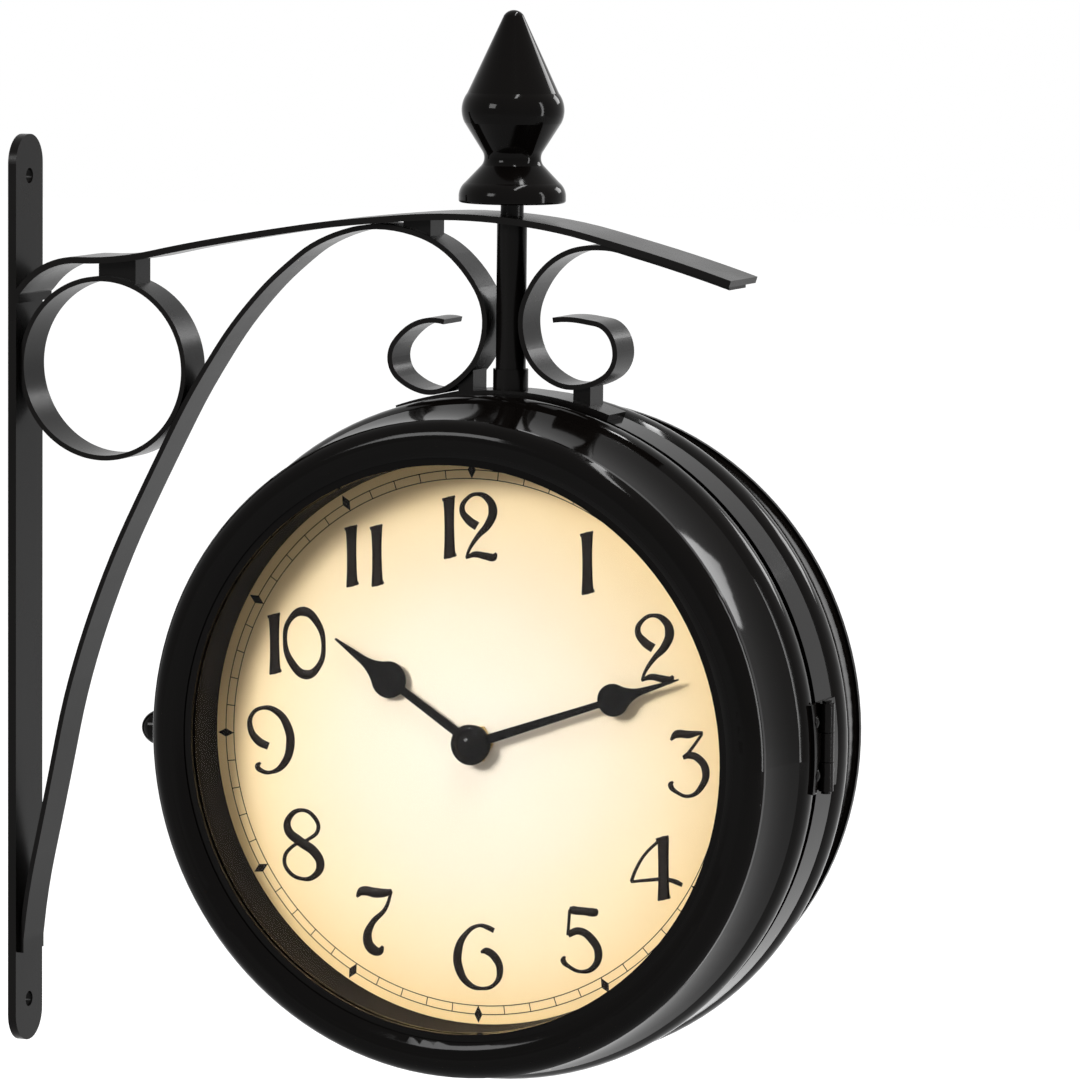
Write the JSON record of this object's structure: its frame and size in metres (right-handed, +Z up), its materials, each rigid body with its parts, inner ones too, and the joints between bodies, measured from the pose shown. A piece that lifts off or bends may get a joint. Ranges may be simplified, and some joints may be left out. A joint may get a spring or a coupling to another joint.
{
  "type": "double sided wall bracket clock",
  "caption": "Round black clock with a cream dial on each face, hung from a scrolled wall bracket with a finial.",
  "frame": {"origin": "middle of the wall plate's back face", "axes": "+X out of the wall, +Z up, the front dial looks along -Y"},
  "size_m": [0.3113, 0.1054, 0.3728],
  "materials": {
    "black_gloss": "glossy black enamel",
    "black_iron": "satin black paint",
    "dial_print": "printed cream enamel",
    "glass": "clear",
    "hand_black": "gloss black",
    "zinc_steel": "zinc plated",
    "brass": "turned",
    "movement_plastic": "moulded",
    "gear_plastic": "moulded",
    "board_green": "circuit board",
    "cell_wrap": "plastic sleeve",
    "washer_rubber": "soft"
  },
  "bodies": {
    "bracket_and_rear_half": {"wall_plate": "black_iron", "top_arm": "black_iron", "strut_scroll": "black_iron", "arm_scroll": "black_iron", "ring": "black_iron", "scroll_spacers": "black_iron", "saddle_strap": "black_iron", "post_tube": "black_iron", "tie_rod": "zinc_steel", "finial": "black_gloss", "neck_nut": "zinc_steel", "hanging_nut": "zinc_steel", "centre_band": "black_gloss", "rear_shell": "black_gloss", "rear_bezel": "black_gloss", "rear_lens": "glass", "rear_dial_ring": "black_iron", "rear_dial": "dial_print", "hinge_fixed_leaf": "black_iron", "hinge_pin": "black_iron", "fixed_leaf_rivets": "black_iron", "latch_keeper": "zinc_steel", "rear_movement_housing": "movement_plastic", "rear_movement_cover": "movement_plastic", "rear_drive_board": "board_green", "rear_battery": "cell_wrap", "rear_battery_contacts": "zinc_steel", "rear_bush_nut": "brass", "rear_rubber_washer": "washer_rubber"},
    "front_half": {"front_shell": "black_gloss", "front_bezel": "black_gloss", "front_lens": "glass", "front_dial_ring": "black_iron", "front_dial": "dial_print", "hinge_moving_leaf": "black_iron", "moving_leaf_rivets": "black_iron", "latch_bush": "zinc_steel", "front_movement_housing": "movement_plastic", "front_movement_cover": "movement_plastic", "front_drive_board": "board_green", "front_battery": "cell_wrap", "front_battery_contacts": "zinc_steel", "front_bush_nut": "brass", "front_rubber_washer": "washer_rubber"},
    "latch": {"latch_knob": "black_gloss", "latch_hook": "zinc_steel"},
    "front_minute": {"front_minute_arbor": "brass", "front_minute_hand": "hand_black", "front_hand_nut": "hand_black"},
    "front_hour": {"front_hour_wheel": "gear_plastic", "front_hour_hand": "hand_black"},
    "front_motion": {"front_motion_wheel": "gear_plastic"},
    "front_setting": {"front_setting_knob": "gear_plastic"},
    "rear_minute": {"rear_minute_arbor": "brass", "rear_minute_hand": "hand_black", "rear_hand_nut": "hand_black"},
    "rear_hour": {"rear_hour_wheel": "gear_plastic", "rear_hour_hand": "hand_black"},
    "rear_motion": {"rear_motion_wheel": "gear_plastic"},
    "rear_setting": {"rear_setting_knob": "gear_plastic"}
  },
  "joints": [
    {"name": "front_half_opens", "type": "hinge", "parent": "bracket_and_rear_half", "child": "front_half", "pos_m": [0.3088, -0.00815, -0.0365], "axis": [0, 0, 1], "range_deg": [0, 100]},
    {"name": "latch_turns", "type": "hinge", "parent": "front_half", "child": "latch", "pos_m": [0.0697, -0.018, -0.0435], "axis": [1, 0, 0], "range_deg": [0, 60]},
    {"name": "front_minute_turns", "type": "hinge", "parent": "front_half", "child": "front_minute", "pos_m": [0.1885, -0.03, -0.04], "axis": [0, 1, 0], "continuous": true},
    {"name": "front_hour_turns", "type": "hinge", "parent": "front_half", "child": "front_hour", "pos_m": [0.1885, -0.03, -0.04], "axis": [0, 1, 0], "continuous": true},
    {"name": "front_motion_turns", "type": "hinge", "parent": "front_half", "child": "front_motion", "pos_m": [0.2005, -0.03, -0.04], "axis": [0, 1, 0], "continuous": true},
    {"name": "front_setting_turns", "type": "hinge", "parent": "front_half", "child": "front_setting", "pos_m": [0.2005, -0.03, -0.028], "axis": [0, 1, 0], "continuous": true},
    {"name": "rear_minute_turns", "type": "hinge", "parent": "bracket_and_rear_half", "child": "rear_minute", "pos_m": [0.1885, 0.03, -0.04], "axis": [0, -1, 0], "continuous": true},
    {"name": "rear_hour_turns", "type": "hinge", "parent": "bracket_and_rear_half", "child": "rear_hour", "pos_m": [0.1885, 0.03, -0.04], "axis": [0, -1, 0], "continuous": true},
    {"name": "rear_motion_turns", "type": "hinge", "parent": "bracket_and_rear_half", "child": "rear_motion", "pos_m": [0.1765, 0.03, -0.04], "axis": [0, -1, 0], "continuous": true},
    {"name": "rear_setting_turns", "type": "hinge", "parent": "bracket_and_rear_half", "child": "rear_setting", "pos_m": [0.1765, 0.03, -0.028], "axis": [0, -1, 0], "continuous": true}
  ],
  "couplings": [
    {"joint": "front_hour_turns", "follows": "front_minute_turns", "ratio": 0.083333},
    {"joint": "front_motion_turns", "follows": "front_minute_turns", "ratio": -0.33333},
    {"joint": "front_setting_turns", "follows": "front_minute_turns", "ratio": 1},
    {"joint": "rear_hour_turns", "follows": "rear_minute_turns", "ratio": 0.083333},
    {"joint": "rear_motion_turns", "follows": "rear_minute_turns", "ratio": -0.33333},
    {"joint": "rear_setting_turns", "follows": "rear_minute_turns", "ratio": 1}
  ]
}
